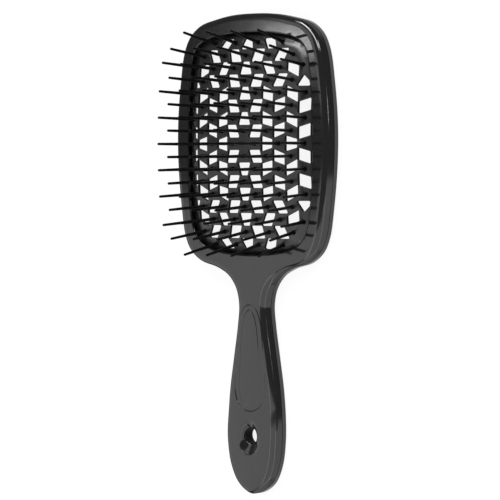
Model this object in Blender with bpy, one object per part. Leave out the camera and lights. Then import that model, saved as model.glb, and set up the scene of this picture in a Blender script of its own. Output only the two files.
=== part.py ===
"""Vented hair brush: a ring head that holds a domed lattice pad, bands of pins, and a handle.

The brush lies on its back. +Z is the way the pins point, +Y runs from the handle to the head,
and +X runs across. The origin is under the middle of the brush, on the surface it lies on.
The outline and the pad are worked out about the pad's centre, then moved along +Y.
"""
import math

import bpy
import bmesh
import numpy as np
from mathutils import Vector
from mathutils.geometry import delaunay_2d_cdt

# Plan of the whole brush, in metres. Reaches are measured from the pad's centre.
HEAD_REACH = 0.0601
HEAD_HALF_WIDTH = 0.0443
SHOULDER_LENGTH = 0.0144
NECK_HALF_WIDTH = 0.0078
GRIP_LENGTH = 0.0875
GRIP_HALF_WIDTH = 0.0143

# Heights above the surface that the brush lies on.
COVER_TOP = 0.00305
RIM_FACE = 0.0097
NECK_FACE = 0.0096
GRIP_FACE = 0.0096
HOLE_FACE = 0.0102
END_FACE = 0.0095

# Edges of the two shells, and the gap between pieces that touch.
RIM_EDGE_RADIUS = 0.0034
HANDLE_EDGE_RADIUS = 0.0029
HANDLE_CROWN = 0.0004
WINDOW_EDGE_RADIUS = 0.0008
COVER_EDGE_RADIUS = 0.0006
FIT_GAP = 0.0003
MOULD_DRAFT = 0.0003

# The window in the head, and how the two shells hold the pad's border.
RIM_SIDE_WIDTH = 0.0080
RIM_END_WIDTH = 0.0089
PAD_TUCK = 0.0022
RIM_LIP_THICKNESS = 0.0024
COVER_LIP_INSET = 0.0010
COVER_BEVEL_WIDTH = 0.0021
COVER_BEVEL_HEIGHT = 0.0026

# The lattice pad.
PAD_THICKNESS = 0.0018
BAND_THICKNESS = 0.0006
PAD_CENTRE_FACE = 0.0140
PAD_RADIUS_ACROSS = 0.1720
PAD_RADIUS_ALONG = 0.4000
PAD_EDGE_BAND = 0.0055
PAD_EDGE_ROOM = 0.0004
PAD_RECESS_DRAFT = 0.0003
VENT_CORNER_RADIUS = 0.0005

# The pins, which stand in bands on the pad.
PIN_LENGTH = 0.0220
PIN_FOOT_RADIUS = 0.00115
PIN_SHAFT_RADIUS = 0.00080
PIN_TIP_RADIUS = 0.00060
PIN_FOOT_HEIGHT = 0.0013
CORNER_PIN_SHIFT_ACROSS = 0.0016
CORNER_PIN_SHIFT_ALONG = 0.0010

# The hanging hole in its dish, and the cone that opens it at the back.
HOLE_FROM_END = 0.0270
HOLE_RADIUS = 0.0036
DISH_HALF_WIDTH = 0.0056
DISH_HALF_LENGTH = 0.0084
DISH_DEPTH = 0.0028
CONE_TOP_RADIUS = 0.0040
CONE_FOOT_RADIUS = 0.0060
CONE_HEIGHT = 0.0022

# The bare oval plaque on the handle, a low step in a border that sinks into the face at the foot.
PLAQUE_BELOW_NECK = 0.0020
PLAQUE_ABOVE_HOLE = 0.0136
PLAQUE_HALF_WIDTH = 0.0065
PLAQUE_BORDER = 0.0024
PLAQUE_STEP = 0.00015
PLAQUE_FOOT_STEP = -0.00040
PLAQUE_SLOPE = 0.00050

# How finely the curves are cut.
FACE_GRID = 0.0062
SAME_POINT = 1e-9
OUTLINE_POINTS = 112
WINDOW_POINTS = 72
HOLE_POINTS = 20
DISH_POINTS = 28
PLAQUE_POINTS = 36
PIN_SIDES = 6
CURVE_STEPS = 24
CUT_POINTS = 48
CUT_STRIDE = 4
VENT_CORNER_STEPS = 1
SHARP_ANGLE = math.radians(35.0)

# The lattice: rows count down from the head's top end, columns count out from the middle.
MIDDLE_ROW = 9
LAST_ROW = 17
CORNER_COLUMN = 5
CORNER_ROW = 3
BANDS = ((1, 2), (3, 4), (5, 6), (7, 8), (9, 10), (11, 12), (13, 14), (15, 17))

# Angles in degrees at which the pins fan out, square to the domed pad.
FAN_ACROSS_PER_COLUMN = 1.95
FAN_ALONG_PER_ROW = 0.77
FAN_ALONG_NEXT_TO_LAST = 8.5
FAN_ALONG_LAST = 12.5

# Right half of the outline from the top down, as shares of the half widths and the reaches.
HEAD_OUTLINE_SHARES = (
    (0.000, 1.000), (0.254, 0.993), (0.490, 0.963), (0.685, 0.922), (0.826, 0.837),
    (0.908, 0.707), (0.960, 0.471), (0.993, 0.216), (1.000, -0.016), (0.984, -0.255),
    (0.948, -0.499), (0.900, -0.709), (0.824, -0.827), (0.684, -0.909), (0.468, -0.957),
)
NECK_OUTLINE_SHARES = ((1.790, 0.821), (1.224, 0.899), (1.000, 1.000))
HANDLE_OUTLINE_SHARES = (
    (0.600, 0.109), (0.757, 0.274), (0.914, 0.441), (0.993, 0.600), (0.986, 0.726),
    (0.877, 0.845), (0.627, 0.936), (0.333, 0.979), (0.000, 1.000),
)
WINDOW_OUTLINE_SHARES = (
    (0.000, 1.000), (0.379, 0.986), (0.650, 0.953), (0.818, 0.900), (0.911, 0.810),
    (0.954, 0.655), (0.989, 0.332), (1.000, 0.000), (0.989, -0.313), (0.957, -0.600),
    (0.900, -0.783), (0.790, -0.895), (0.596, -0.957), (0.325, -0.988), (0.000, -1.000),
)
SHOULDER_SHARE = 0.8
EDGE_SHARES = (0.10, 0.35, 0.70, 1.0)
GRID_ROOM_SHARE = 0.35
DISH_POINT_SHARE = 0.35
DISH_MIDDLE_SHARE = 0.70
DISH_SOFT_SHARE = 0.6
PLAQUE_MIDDLE_SHARE = 0.885
PLAQUE_TAPER_SHARE = 0.28
PLAQUE_FULLNESS = 5
PLAQUE_FADE_SHARE = 0.72
PAD_RISE_SHARES = (0.30, 0.62)
HALF_ROW_SHARE = 0.5
COLUMN_PITCH_SHARE = 0.1786
ROW_PITCH_SHARE = 0.1133
PIN_TIP_SHARE = 0.30
PIN_TIP_ROUND_SHARE = 0.72

# Vents of the upper right quarter, as shares of the column and row pitch from the vent's own
# place in the lattice. Each goes round by its corners, with the second number counting down.
TRAPEZOID_SHARES = ((-0.33, -0.50), (0.33, -0.50), (0.58, 0.50), (-0.58, 0.50))
LEAN_IN_SHARES = ((-0.30, -0.50), (0.63, -0.50), (0.42, 0.50), (-0.62, 0.50))
LEAN_OUT_SHARES = ((-0.67, -0.50), (0.24, -0.50), (0.62, 0.50), (-0.24, 0.50))
OUTER_LEAN_IN_SHARES = ((-0.22, -0.50), (0.64, -0.50), (0.23, 0.50), (-0.68, 0.50))
UPRIGHT_SHARES = (
    ((-0.48, -0.63), (0.48, -0.15), (0.48, 0.70), (-0.48, 0.43)),
    ((-0.48, -0.37), (0.48, -0.73), (0.48, 0.18), (-0.48, 0.59)),
    ((-0.49, -0.60), (0.49, -0.06), (0.49, 0.82), (-0.49, 0.29)),
    ((-0.48, -0.28), (0.31, -0.61), (0.31, 0.37), (-0.48, 0.69)),
)
MIDDLE_ROW_SHARES = ((-0.48, -0.63), (0.48, -0.33), (0.48, 0.33), (-0.48, 0.63))
CORNER_VENT_SHARES = ((-0.19, -0.42), (0.16, 0.06), (0.23, 0.48), (-0.68, 0.48))
FIRST_ROW_TOP_SHARE = -0.33

# Sizes that follow from the ones above. The pitches spread the lattice over the window.
NECK_REACH = HEAD_REACH + SHOULDER_LENGTH
HANDLE_REACH = NECK_REACH + GRIP_LENGTH
HOLE_REACH = HANDLE_REACH - HOLE_FROM_END
PLAQUE_TOP_REACH = NECK_REACH + PLAQUE_BELOW_NECK
PLAQUE_FOOT_REACH = HOLE_REACH - PLAQUE_ABOVE_HOLE
WINDOW_HALF_WIDTH = HEAD_HALF_WIDTH - RIM_SIDE_WIDTH
WINDOW_HALF_LENGTH = HEAD_REACH - RIM_END_WIDTH
COLUMN_PITCH = WINDOW_HALF_WIDTH * COLUMN_PITCH_SHARE
ROW_PITCH = WINDOW_HALF_LENGTH * ROW_PITCH_SHARE
PAD_CENTRE_ALONG = (HANDLE_REACH - HEAD_REACH) / 2
SHELL_FOOT = COVER_TOP + FIT_GAP
RIM_LIP_FOOT = RIM_FACE - RIM_LIP_THICKNESS
PAD_BORDER_TOP = RIM_LIP_FOOT - FIT_GAP
PAD_BORDER_FOOT = PAD_BORDER_TOP - PAD_THICKNESS
COVER_LIP_TOP = PAD_BORDER_FOOT - FIT_GAP
HEAD_END = WINDOW_HALF_LENGTH + 2 * PAD_TUCK


def clear_scene():
    for item in list(bpy.data.objects):
        bpy.data.objects.remove(item, do_unlink=True)


def make_material(name, colour, roughness):
    material = bpy.data.materials.new(name)
    material.use_nodes = True
    shader = material.node_tree.nodes["Principled BSDF"]
    shader.inputs["Base Color"].default_value = (*colour, 1.0)
    shader.inputs["Roughness"].default_value = roughness
    shader.inputs["Metallic"].default_value = 0.0
    return material


def blend(low, high, value):
    """Smooth step from 0 at low to 1 at high."""
    t = np.clip((value - low) / (high - low), 0.0, 1.0)
    return t * t * (3.0 - 2.0 * t)


def curve_through(points):
    """Closed centripetal Catmull-Rom curve through the points."""
    knots = np.asarray(points)
    count = len(knots)
    result = []
    for i in range(count):
        p0, p1, p2, p3 = (knots[(i + k) % count] for k in (-1, 0, 1, 2))
        t1 = math.sqrt(np.linalg.norm(p1 - p0))
        t2 = t1 + math.sqrt(np.linalg.norm(p2 - p1))
        t3 = t2 + math.sqrt(np.linalg.norm(p3 - p2))
        for step in range(CURVE_STEPS):
            t = t1 + (t2 - t1) * step / CURVE_STEPS
            a1 = p0 * (t1 - t) / t1 + p1 * t / t1
            a2 = p1 * (t2 - t) / (t2 - t1) + p2 * (t - t1) / (t2 - t1)
            a3 = p2 * (t3 - t) / (t3 - t2) + p3 * (t - t2) / (t3 - t2)
            b1 = a1 * (t2 - t) / t2 + a2 * t / t2
            b2 = a2 * (t3 - t) / (t3 - t1) + a3 * (t - t1) / (t3 - t1)
            result.append(b1 * (t2 - t) / (t2 - t1) + b2 * (t - t1) / (t2 - t1))
    return np.array(result)


def evenly(loop, count):
    """The closed loop again, with its points at equal spacing."""
    closed = np.vstack([loop, loop[:1]])
    steps = np.linalg.norm(np.diff(closed, axis=0), axis=1)
    lengths = np.concatenate([[0.0], np.cumsum(steps)])
    places = np.arange(count) * lengths[-1] / count
    return np.stack([np.interp(places, lengths, closed[:, k]) for k in range(2)], axis=1)


def turn_of(loop):
    """1 for a loop that turns left, -1 for one that turns right."""
    following = np.roll(loop, -1, axis=0)
    area = np.sum(loop[:, 0] * following[:, 1] - following[:, 0] * loop[:, 1])
    return 1.0 if area > 0 else -1.0


def inset(loop, distance):
    """The loop moved inwards by a distance, or outwards by a negative one."""
    along = np.roll(loop, -1, axis=0) - np.roll(loop, 1, axis=0)
    along /= np.linalg.norm(along, axis=1)[:, None]
    inward = np.stack([-along[:, 1], along[:, 0]], axis=1) * turn_of(loop)
    return loop + inward * distance


def circle(centre_along, radius, count):
    turns = np.arange(count) * 2 * math.pi / count
    return np.stack([radius * np.cos(turns), centre_along + radius * np.sin(turns)], axis=1)


def mirrored(half):
    """A closed outline from its right half, which starts and ends on the middle line."""
    return list(half) + [(-x, y) for x, y in reversed(half[1:-1])]


def body_outline():
    half = [(x * HEAD_HALF_WIDTH, y * HEAD_REACH) for x, y in HEAD_OUTLINE_SHARES]
    half += [(x * NECK_HALF_WIDTH, -y * NECK_REACH) for x, y in NECK_OUTLINE_SHARES]
    grip_length = HANDLE_REACH - NECK_REACH
    for x, y in HANDLE_OUTLINE_SHARES:
        half.append((x * GRIP_HALF_WIDTH, -NECK_REACH - y * grip_length))
    return curve_through(mirrored(half))


def window_outline():
    half = [(x * WINDOW_HALF_WIDTH, y * WINDOW_HALF_LENGTH) for x, y in WINDOW_OUTLINE_SHARES]
    return curve_through(mirrored(half))


def plaque_outline():
    """The plaque's inner outline, an oval that widens with the handle."""
    middle = (PLAQUE_TOP_REACH + PLAQUE_FOOT_REACH) / 2
    half_length = (PLAQUE_FOOT_REACH - PLAQUE_TOP_REACH) / 2
    turns = np.arange(PLAQUE_POINTS) * 2 * math.pi / PLAQUE_POINTS
    along = np.sin(turns)
    across = np.sign(np.cos(turns)) * np.sqrt(1.0 - np.abs(along) ** PLAQUE_FULLNESS)
    width = PLAQUE_HALF_WIDTH * (PLAQUE_MIDDLE_SHARE - PLAQUE_TAPER_SHARE * along)
    return np.stack([across * width, -middle + along * half_length], axis=1)


OUTLINE_CURVE = body_outline()
WINDOW_CURVE = window_outline()
PLAQUE_LOOP = plaque_outline()


def inside(loop, points):
    """Which of the points lie within the closed loop."""
    following = np.roll(loop, -1, axis=0)
    within = np.zeros(len(points), dtype=bool)
    for (x1, y1), (x2, y2) in zip(loop, following):
        if y1 == y2:
            continue
        crosses = (y1 > points[:, 1]) != (y2 > points[:, 1])
        at = x1 + (points[:, 1] - y1) * (x2 - x1) / (y2 - y1)
        within ^= crosses & (points[:, 0] < at)
    return within


def distance_to(loop, points):
    """Distance of each point to the closed loop."""
    best = np.full(len(points), np.inf)
    for a, b in zip(loop, np.roll(loop, -1, axis=0)):
        run = b - a
        share = np.clip(((points - a) @ run) / max(run @ run, SAME_POINT ** 2), 0.0, 1.0)
        best = np.minimum(best, np.linalg.norm(points - a - share[:, None] * run, axis=1))
    return best


def in_head(points):
    return points[:, 1] > -HEAD_END


def half_width_at(along):
    """Half width of the brush below the head at a place along it, read from the outline."""
    lower = OUTLINE_CURVE[(OUTLINE_CURVE[:, 0] >= 0) & (OUTLINE_CURVE[:, 1] < 0)]
    order = np.argsort(lower[:, 1])
    return np.interp(along, lower[order, 1], lower[order, 0])


def round_edge_drop(distance, radius):
    """How far a rounded edge lies under the face, at a distance from the outline."""
    rest = np.clip(radius - distance, 0.0, radius)
    return radius - np.sqrt(radius * radius - rest * rest)


def edge_radius(along):
    share = blend(HEAD_REACH, NECK_REACH, -along)
    return RIM_EDGE_RADIUS + (HANDLE_EDGE_RADIUS - RIM_EDGE_RADIUS) * share


def plaque_rise(signed, along):
    """Rise of the plaque over the face. The distance to its outline is negative inside it."""
    fade = blend(PLAQUE_FOOT_REACH * PLAQUE_FADE_SHARE, PLAQUE_FOOT_REACH, -along)
    outer = PLAQUE_STEP * (1.0 - fade) + PLAQUE_FOOT_STEP * fade
    rise = PLAQUE_STEP * (1.0 - blend(-PLAQUE_SLOPE, 0.0, signed))
    return rise + outer * (1.0 - blend(PLAQUE_BORDER - PLAQUE_SLOPE, PLAQUE_BORDER, signed))


def dish_level(points):
    """1 on the dish's edge and 0 in its middle. Its lower end runs to a soft point."""
    across = np.abs(points[:, 0]) / DISH_HALF_WIDTH
    along = (points[:, 1] + HOLE_REACH) / DISH_HALF_LENGTH
    point = 1.0 + DISH_POINT_SHARE * np.clip(-along, 0.0, None) * across
    return np.hypot(across * point, along)


def dish_drop(points):
    """Depth of the dish, which starts softly at its upper end and crisply at its lower one."""
    soft = 1.0 + blend(-DISH_SOFT_SHARE, DISH_SOFT_SHARE, (points[:, 1] + HOLE_REACH) / DISH_HALF_LENGTH)
    return DISH_DEPTH * np.clip(1.0 - dish_level(points) ** 2, 0.0, None) ** soft


def dish_loops():
    """Loops at the dish's edge and part of the way down it."""
    centre = np.array([0.0, -HOLE_REACH])
    turns = np.arange(DISH_POINTS) * 2 * math.pi / DISH_POINTS
    rays = np.stack([np.cos(turns) * DISH_HALF_WIDTH, np.sin(turns) * DISH_HALF_LENGTH], axis=1)
    loops = []
    for level in (1.0, DISH_MIDDLE_SHARE):
        place = centre + rays
        for _ in range(3):
            place = centre + (place - centre) * (level / dish_level(place))[:, None]
        loops.append(place)
    return loops


def front_height(points):
    """Height of the front shell's face, with its rounded edge, plaque and dish."""
    along = points[:, 1]
    face = np.full(len(points), RIM_FACE)
    stretches = (
        (HEAD_REACH * SHOULDER_SHARE, NECK_REACH, RIM_FACE, NECK_FACE),
        (NECK_REACH, PLAQUE_FOOT_REACH, NECK_FACE, GRIP_FACE),
        (PLAQUE_FOOT_REACH, HOLE_REACH, GRIP_FACE, HOLE_FACE),
        (HOLE_REACH, HANDLE_REACH, HOLE_FACE, END_FACE),
    )
    for start, end, height_before, height_after in stretches:
        face = face + (height_after - height_before) * blend(start, end, -along)
    width = np.maximum(half_width_at(along), NECK_HALF_WIDTH)
    share = np.clip(np.abs(points[:, 0]) / width, 0.0, 1.0)
    face = face - HANDLE_CROWN * blend(HEAD_REACH, NECK_REACH, -along) * share ** 2
    gap = distance_to(PLAQUE_LOOP, points)
    signed = np.where(inside(PLAQUE_LOOP, points), -gap, gap)
    face = face + plaque_rise(signed, along) - dish_drop(points)
    face = face - round_edge_drop(distance_to(WINDOW_CURVE, points), WINDOW_EDGE_RADIUS)
    return face - round_edge_drop(distance_to(OUTLINE_CURVE, points), edge_radius(along))


def pad_height(points):
    """Height of the pad's face: a dome that turns down to its border under the rim."""
    dome = PAD_CENTRE_FACE - points[:, 0] ** 2 / (2 * PAD_RADIUS_ACROSS)
    dome = dome - points[:, 1] ** 2 / (2 * PAD_RADIUS_ALONG)
    gap = np.where(inside(WINDOW_CURVE, points), distance_to(WINDOW_CURVE, points), 0.0)
    pull = np.clip(1.0 - (gap - PAD_EDGE_ROOM) / PAD_EDGE_BAND, 0.0, 1.0) ** 2
    return dome * (1.0 - pull) + PAD_BORDER_TOP * pull


def clear_of(loops, room, points):
    """Which of the points keep the given room to every loop."""
    good = np.ones(len(points), dtype=bool)
    for loop in loops:
        good &= distance_to(loop, points) > room
    return good


def staggered_grid(low, high, spacing):
    """Points of a staggered grid over a rectangle."""
    found = []
    for row in range(int((high[1] - low[1]) / spacing) + 1):
        shift = (row % 2) * spacing / 2
        for column in range(int((high[0] - low[0]) / spacing) + 1):
            found.append((low[0] + column * spacing + shift, low[1] + row * spacing))
    return np.array(found)


def numbers_of(places, loop):
    """The number of the place at each point of a loop."""
    return [int(np.argmin(np.linalg.norm(places - point, axis=1))) for point in loop]


def triangulated(loops, lines, extra):
    """Triangles over all the points, with the loops and the open lines as edges.

    Returns the places and the triangles, turning left.
    """
    points = np.vstack(list(loops) + list(lines) + [extra])
    edges = []
    start = 0
    for loop in loops:
        count = len(loop)
        edges += [(start + i, start + (i + 1) % count) for i in range(count)]
        start += count
    for line in lines:
        edges += [(start + i, start + i + 1) for i in range(len(line) - 1)]
        start += len(line)
    found = delaunay_2d_cdt([Vector(p) for p in points], edges, [], 0, SAME_POINT)
    places = np.array([tuple(v) for v in found[0]])
    faces = np.array([tuple(f) for f in found[2]])
    first = places[faces[:, 1]] - places[faces[:, 0]]
    second = places[faces[:, 2]] - places[faces[:, 0]]
    right = first[:, 0] * second[:, 1] < first[:, 1] * second[:, 0]
    faces[right] = faces[right][:, ::-1]
    return places, faces


def add_vertices(mesh, places, levels, used):
    return {i: mesh.verts.new((places[i][0], places[i][1], levels[i])) for i in used}


def add_face_sheet(mesh, boundary, relief, extra, height, kept, upwards):
    """Triangles over the kept region. Returns the vertices of each boundary loop, in its order."""
    places, faces = triangulated(list(boundary) + list(relief), [], extra)
    faces = faces[kept(places[faces].mean(axis=1))]
    made = add_vertices(mesh, places, height(places), np.unique(faces))
    for corners in faces:
        turned = corners if upwards else corners[::-1]
        mesh.faces.new([made[i] for i in turned])
    return [[made[i] for i in numbers_of(places, loop)] for loop in boundary]


def add_wall(mesh, low_ring, high_ring, turns_left):
    """A band of faces between two rings, facing away from the ring's inside."""
    count = len(low_ring)
    for i in range(count):
        j = (i + 1) % count
        wall = (low_ring[i], low_ring[j], high_ring[j], high_ring[i])
        mesh.faces.new(wall if turns_left else wall[::-1])


def slab(boundary, top, foot):
    """A closed solid between two height surfaces, within the first loop and outside the others.

    top and foot each hold inner loops, extra points and a height function.
    """
    outer = boundary[0]
    holes = boundary[1:]

    def kept(points):
        within = inside(outer, points)
        for hole in holes:
            within &= ~inside(hole, points)
        return within

    mesh = bmesh.new()
    high = add_face_sheet(mesh, boundary, *top, kept, True)
    low = add_face_sheet(mesh, boundary, *foot, kept, False)
    for loop, high_ring, low_ring in zip(boundary, high, low):
        add_wall(mesh, low_ring, high_ring, (turn_of(loop) > 0) == (loop is outer))
    return mesh


def finish_object(name, mesh, material):
    bmesh.ops.recalc_face_normals(mesh, faces=mesh.faces)
    data = bpy.data.meshes.new(name)
    mesh.to_mesh(data)
    mesh.free()
    data.shade_smooth()
    data.set_sharp_from_angle(angle=SHARP_ANGLE)
    data.materials.append(material)
    item = bpy.data.objects.new(name, data)
    item.location = (0.0, PAD_CENTRE_ALONG, 0.0)
    bpy.context.scene.collection.objects.link(item)


def front_shell(material):
    """The front moulding: the head's rim, the neck and the front of the handle."""
    outline = evenly(OUTLINE_CURVE, OUTLINE_POINTS)
    window = evenly(WINDOW_CURVE, WINDOW_POINTS)
    hole = circle(-HOLE_REACH, HOLE_RADIUS, HOLE_POINTS)
    radius = edge_radius(outline[:, 1])[:, None]
    relief = [inset(outline, radius * share) for share in EDGE_SHARES]
    relief += [inset(window, -WINDOW_EDGE_RADIUS * share) for share in EDGE_SHARES[1::2]]
    relief += dish_loops()
    relief += [PLAQUE_LOOP, inset(PLAQUE_LOOP, PLAQUE_SLOPE)]
    relief += [inset(PLAQUE_LOOP, -PLAQUE_BORDER), inset(PLAQUE_LOOP, PLAQUE_SLOPE - PLAQUE_BORDER)]
    pocket_reach = PAD_TUCK + FIT_GAP
    pocket = [inset(window, -pocket_reach), inset(window, -pocket_reach - MOULD_DRAFT)]

    def foot_height(points):
        under_lip = distance_to(window, points) < pocket_reach + MOULD_DRAFT / 2
        return np.where(under_lip & in_head(points), RIM_LIP_FOOT, SHELL_FOOT)

    low = (-GRIP_HALF_WIDTH, -HANDLE_REACH)
    grid = staggered_grid(low, (GRIP_HALF_WIDTH, -HEAD_REACH), FACE_GRID)
    grid = grid[inside(inset(outline, radius), grid)]
    grid = grid[clear_of([window, hole] + relief, FACE_GRID * GRID_ROOM_SHARE, grid)]
    none = np.empty((0, 2))
    boundary = [outline, window, hole]
    mesh = slab(boundary, (relief, grid, front_height), (pocket, none, foot_height))
    finish_object("front_shell", mesh, material)


def back_cover(material):
    """The back moulding: a flat cover with a lip that holds the pad's border."""
    outline = evenly(OUTLINE_CURVE, OUTLINE_POINTS)
    window = evenly(WINDOW_CURVE, WINDOW_POINTS)
    mouth = inset(window, -COVER_LIP_INSET)
    hole = circle(-HOLE_REACH, CONE_TOP_RADIUS, HOLE_POINTS)
    lip = [inset(window, -PAD_TUCK), inset(window, -PAD_TUCK - MOULD_DRAFT)]
    foot_loops = [inset(outline, COVER_EDGE_RADIUS * share) for share in EDGE_SHARES[1:]]
    foot_loops.append(inset(window, -COVER_LIP_INSET - COVER_BEVEL_WIDTH))
    foot_loops.append(circle(-HOLE_REACH, CONE_FOOT_RADIUS, HOLE_POINTS))

    def top_height(points):
        on_lip = distance_to(window, points) < PAD_TUCK + MOULD_DRAFT / 2
        return np.where(on_lip & in_head(points), COVER_LIP_TOP, COVER_TOP)

    def foot_height(points):
        rise = round_edge_drop(distance_to(outline, points), COVER_EDGE_RADIUS)
        share = 1.0 - (distance_to(window, points) - COVER_LIP_INSET) / COVER_BEVEL_WIDTH
        bevel = COVER_BEVEL_HEIGHT * np.clip(share, 0.0, 1.0)
        reach = np.hypot(points[:, 0], points[:, 1] + HOLE_REACH)
        cone_share = (CONE_FOOT_RADIUS - reach) / (CONE_FOOT_RADIUS - CONE_TOP_RADIUS)
        cone = CONE_HEIGHT * np.clip(cone_share, 0.0, 1.0)
        return rise + np.where(in_head(points), bevel, cone)

    none = np.empty((0, 2))
    boundary = [outline, mouth, hole]
    mesh = slab(boundary, (lip, none, top_height), (foot_loops, none, foot_height))
    finish_object("back_cover", mesh, material)


def rounded_polygon(corners):
    """The polygon with each corner cut by an arc."""
    corners = np.asarray(corners)
    result = []
    for i, here in enumerate(corners):
        before = corners[i - 1] - here
        after = corners[(i + 1) % len(corners)] - here
        back = before / np.linalg.norm(before)
        ahead = after / np.linalg.norm(after)
        half = math.acos(float(back @ ahead)) / 2
        towards = (back + ahead) / np.linalg.norm(back + ahead)
        centre = here + towards * VENT_CORNER_RADIUS / math.sin(half)
        first = here + back * VENT_CORNER_RADIUS / math.tan(half) - centre
        last = here + ahead * VENT_CORNER_RADIUS / math.tan(half) - centre
        sweep = math.atan2(float(first[0] * last[1] - first[1] * last[0]), float(first @ last))
        for step in range(VENT_CORNER_STEPS + 1):
            angle = sweep * step / VENT_CORNER_STEPS
            x = first[0] * math.cos(angle) - first[1] * math.sin(angle)
            y = first[0] * math.sin(angle) + first[1] * math.cos(angle)
            result.append(centre + (x, y))
    return np.array(result)


def quarter_vents():
    """Column, row and corner shares of each vent of the upper right quarter."""
    vents = [(0, row, TRAPEZOID_SHARES) for row in (1, 3, 5, 7)]
    vents += [(1, row, LEAN_IN_SHARES) for row in (2, 4, 6, 8)]
    vents += [(2, row, LEAN_OUT_SHARES) for row in (1, 3)]
    vents += [(3, row, OUTER_LEAN_IN_SHARES) for row in (2, 4)]
    vents += [(2, row, UPRIGHT_SHARES[0]) for row in (5, 7)]
    vents += [(3, row, UPRIGHT_SHARES[1]) for row in (6, 8)]
    vents += [(4, row, UPRIGHT_SHARES[2]) for row in (3, 5, 7)]
    vents += [(5, row, UPRIGHT_SHARES[3]) for row in (6, 8)]
    vents += [(column, MIDDLE_ROW, MIDDLE_ROW_SHARES) for column in (2, 4)]
    vents.append((5, 4, CORNER_VENT_SHARES))
    return vents


def vent_loops():
    """Every vent of the lattice, mirrored from the upper right quarter."""
    loops = []
    for column, row, shares in quarter_vents():
        corners = []
        for across, down in shares:
            drop = max(down, FIRST_ROW_TOP_SHARE) if row == 1 else down
            along = (MIDDLE_ROW - row - drop) * ROW_PITCH
            corners.append(((column + across) * COLUMN_PITCH, along))
        loop = rounded_polygon(corners)
        for flip_across in ((1, -1) if column else (1,)):
            for flip_along in ((1, -1) if row != MIDDLE_ROW else (1,)):
                loops.append(loop * (flip_across, flip_along))
    return loops


def fan_along(row):
    """Tilt of a row's pins towards the nearer end of the head, in degrees."""
    steps = abs(MIDDLE_ROW - row)
    toward = 1 if row < MIDDLE_ROW else -1
    if steps == MIDDLE_ROW - 1:
        return FAN_ALONG_LAST * toward
    if steps == MIDDLE_ROW - 2:
        return FAN_ALONG_NEXT_TO_LAST * toward
    return FAN_ALONG_PER_ROW * steps * toward


def columns_of_row(row):
    if row in (1, LAST_ROW):
        return (-3, -1, 1, 3)
    if row % 2 == 0:
        return (-4, -2, 0, 2, 4)
    return (-5, -3, -1, 1, 3, 5)


def pins_of(row):
    """Foot and direction of each pin of a row."""
    found = []
    toward = 1 if row < MIDDLE_ROW else -1
    for column in columns_of_row(row):
        across = column * COLUMN_PITCH
        along = (MIDDLE_ROW - row) * ROW_PITCH
        if abs(column) == CORNER_COLUMN and row in (CORNER_ROW, LAST_ROW + 1 - CORNER_ROW):
            across -= math.copysign(CORNER_PIN_SHIFT_ACROSS, column)
            along += CORNER_PIN_SHIFT_ALONG * toward
        lean_across = math.tan(math.radians(FAN_ACROSS_PER_COLUMN * column))
        lean_along = math.tan(math.radians(fan_along(row)))
        found.append(((across, along), Vector((lean_across, lean_along, 1.0)).normalized()))
    return found


def pins():
    return [pin for row in range(1, LAST_ROW + 1) for pin in pins_of(row)]


def pin_feet():
    """The ring round the foot of each pin."""
    return [circle(0.0, PIN_FOOT_RADIUS, PIN_SIDES) + foot for foot, _ in pins()]


def add_pin(mesh, foot_ring, foot, direction):
    """One pin on its ring in the pad: a flared foot, a slim taper and a rounded tip."""
    seat = Vector((foot[0], foot[1], float(pad_height(np.array([foot]))[0])))
    side = (Vector((1.0, 0.0, 0.0)) - direction * direction.x).normalized()
    other = direction.cross(side)
    profile = (
        (PIN_FOOT_HEIGHT, PIN_SHAFT_RADIUS),
        (PIN_LENGTH - PIN_TIP_RADIUS, PIN_TIP_RADIUS),
        (PIN_LENGTH - PIN_TIP_RADIUS * PIN_TIP_SHARE, PIN_TIP_RADIUS * PIN_TIP_ROUND_SHARE),
    )
    below = foot_ring
    for reach, radius in profile:
        ring = []
        for k in range(PIN_SIDES):
            turn = 2 * math.pi * k / PIN_SIDES
            offset = side * (radius * math.cos(turn)) + other * (radius * math.sin(turn))
            ring.append(mesh.verts.new(seat + direction * reach + offset))
        add_wall(mesh, below, ring, True)
        below = ring
    tip = mesh.verts.new(seat + direction * PIN_LENGTH)
    for k in range(PIN_SIDES):
        mesh.faces.new((below[k], below[(k + 1) % PIN_SIDES], tip))


def pad_plan():
    """The loops and points that the lattice and the bands of pins share."""
    window = evenly(WINDOW_CURVE, WINDOW_POINTS)
    field = inset(window, PAD_EDGE_ROOM + PAD_RECESS_DRAFT)
    rise = np.vstack([inset(window, PAD_EDGE_BAND * share) for share in PAD_RISE_SHARES])
    vents = vent_loops()
    rise = rise[clear_of(vents + pin_feet(), VENT_CORNER_RADIUS, rise)]
    for vent in vents:
        rise = rise[~inside(vent, rise)]
    return window, field, vents, rise


def lattice_pad(material):
    """The domed pad under the pins, with a recess that the bands lie in."""
    window, field, vents, rise = pad_plan()
    border = inset(window, -PAD_TUCK)
    bend = inset(window, PAD_EDGE_ROOM)

    def top_height(points):
        gap = np.where(inside(window, points), distance_to(window, points), 0.0)
        recess = pad_height(points) - BAND_THICKNESS - FIT_GAP
        return np.where(gap > PAD_EDGE_ROOM + PAD_RECESS_DRAFT / 2, recess, PAD_BORDER_TOP)

    def foot_height(points):
        return pad_height(points) - PAD_THICKNESS

    mesh = slab([border] + vents, ([bend, field], rise, top_height), ([bend], rise, foot_height))
    finish_object("lattice_pad", mesh, material)


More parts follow.
